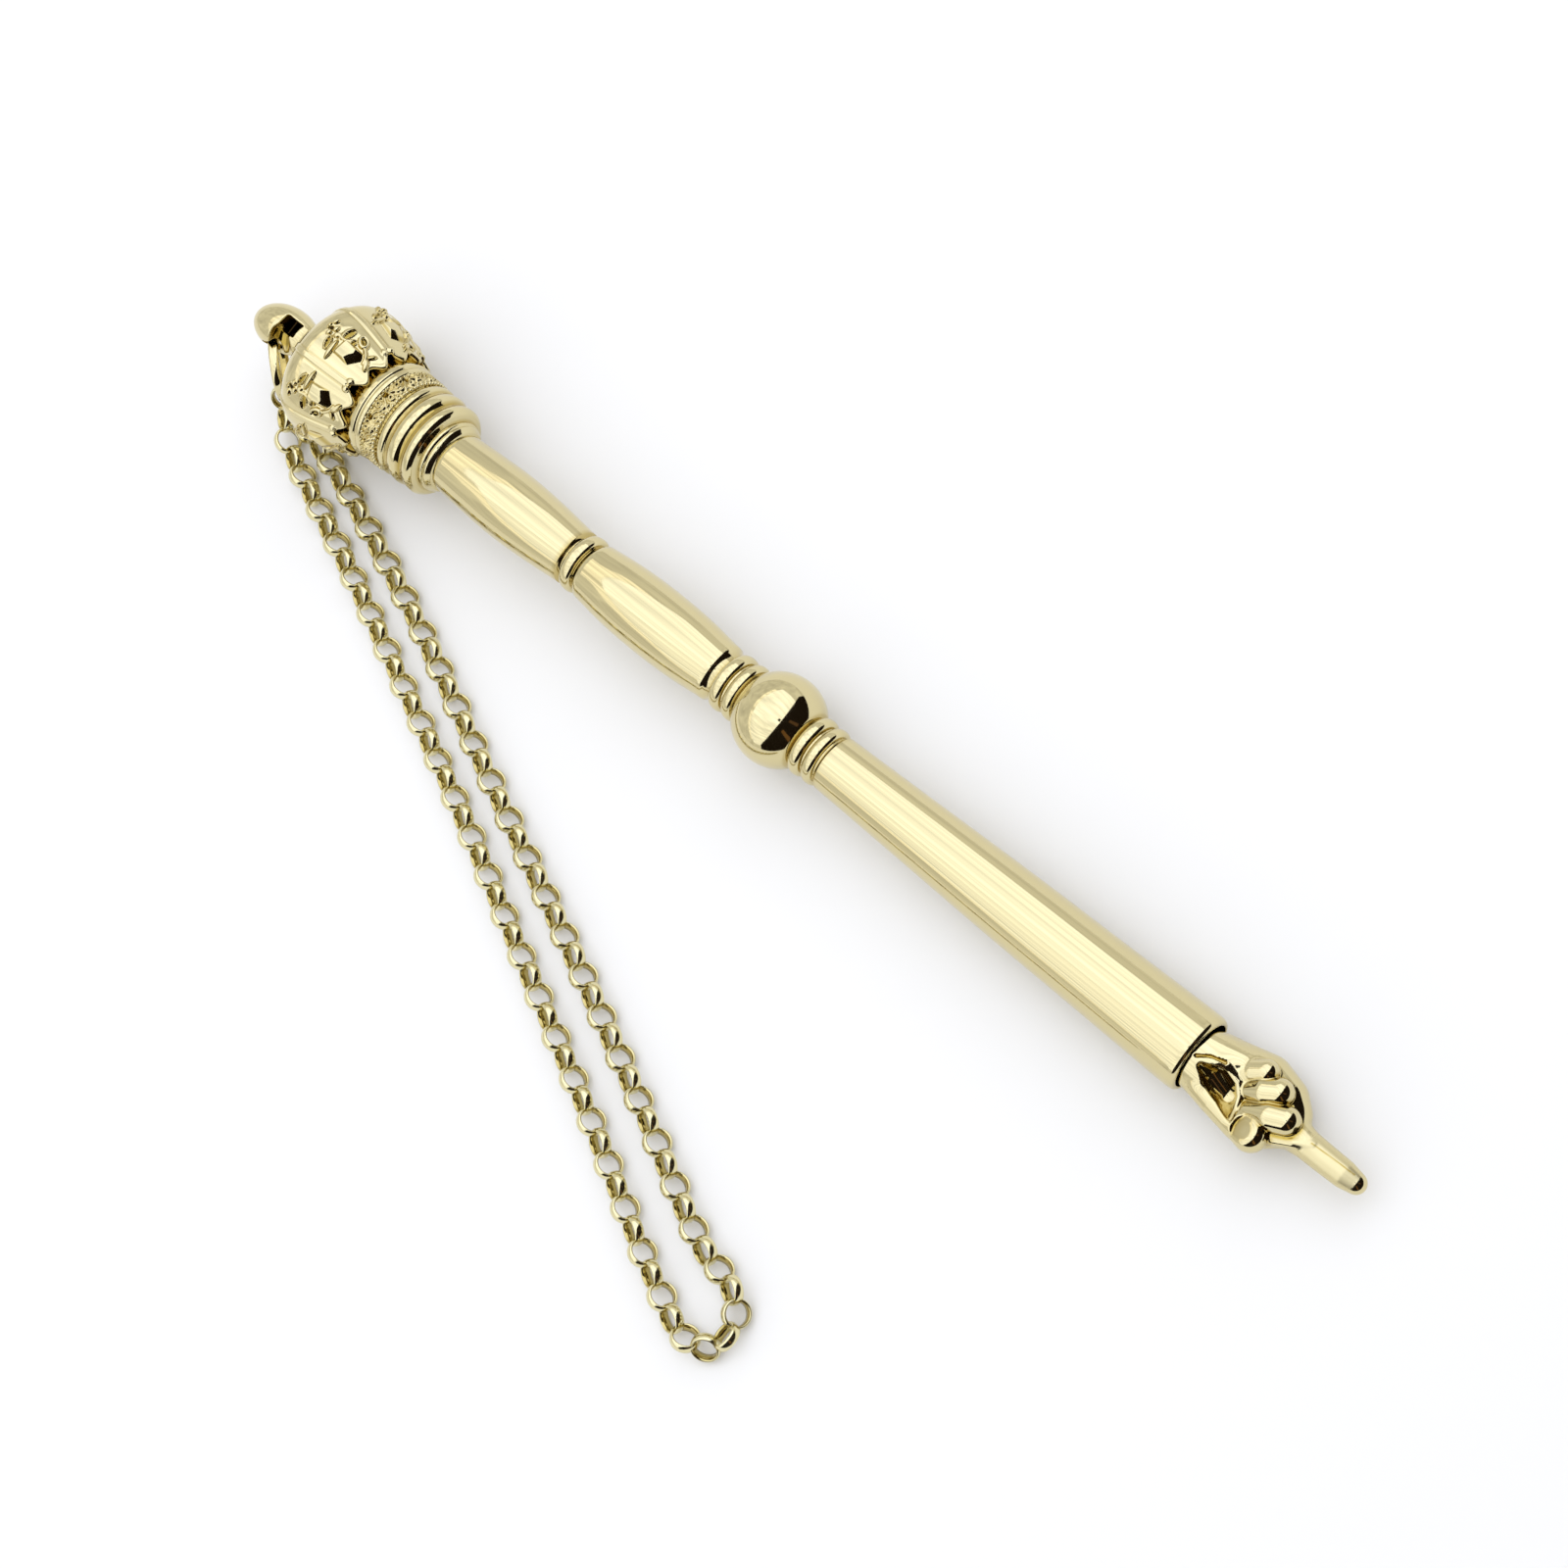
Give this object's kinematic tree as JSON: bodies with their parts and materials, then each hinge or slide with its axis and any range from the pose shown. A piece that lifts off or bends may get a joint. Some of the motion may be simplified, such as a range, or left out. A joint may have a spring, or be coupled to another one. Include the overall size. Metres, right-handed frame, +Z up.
{
  "type": "torah pointer",
  "caption": "Gold-plated Torah pointer (yad) lying down: onion crown with scrolls, turned shaft with a ball, long sleeve, pointing hand, and a looped belcher chain beside it.",
  "frame": {"origin": "middle of the small flat under the crown's belly, on the table", "axes": "+Z up, +X along the pointer from the crown towards the fingertip, +Y across it, away from the chain"},
  "size_m": [0.2091, 0.0843, 0.0214],
  "materials": {
    "gold_plating": "polished gold plate on a casting",
    "chain_gold": "polished gold plate on wire links"
  },
  "bodies": {
    "root": {"crown_head": "gold_plating", "shaft": "gold_plating", "hand": "gold_plating", "jump_ring": "gold_plating", "chain_links_01": "chain_gold", "chain_links_02": "chain_gold", "chain_links_03": "chain_gold", "chain_links_04": "chain_gold", "chain_links_05": "chain_gold", "chain_links_06": "chain_gold", "chain_links_07": "chain_gold", "chain_links_08": "chain_gold", "chain_links_09": "chain_gold", "chain_links_10": "chain_gold", "chain_links_11": "chain_gold", "chain_links_12": "chain_gold", "chain_links_13": "chain_gold", "chain_links_14": "chain_gold", "chain_links_15": "chain_gold", "chain_links_16": "chain_gold", "chain_links_17": "chain_gold", "chain_links_18": "chain_gold", "chain_links_19": "chain_gold", "chain_links_20": "chain_gold", "chain_links_21": "chain_gold", "chain_links_22": "chain_gold", "chain_links_23": "chain_gold", "chain_links_24": "chain_gold", "chain_links_25": "chain_gold", "chain_links_26": "chain_gold", "chain_links_27": "chain_gold", "chain_links_28": "chain_gold", "chain_links_29": "chain_gold", "chain_links_30": "chain_gold", "chain_links_31": "chain_gold", "chain_links_32": "chain_gold", "chain_links_33": "chain_gold", "chain_links_34": "chain_gold", "chain_links_35": "chain_gold", "chain_links_36": "chain_gold", "chain_links_37": "chain_gold", "chain_links_38": "chain_gold", "chain_links_39": "chain_gold", "chain_links_40": "chain_gold", "chain_links_41": "chain_gold", "chain_links_42": "chain_gold", "chain_links_43": "chain_gold", "chain_links_44": "chain_gold", "chain_links_45": "chain_gold", "chain_links_46": "chain_gold", "chain_links_47": "chain_gold", "chain_links_48": "chain_gold", "chain_links_49": "chain_gold"}
  },
  "joints": []
}
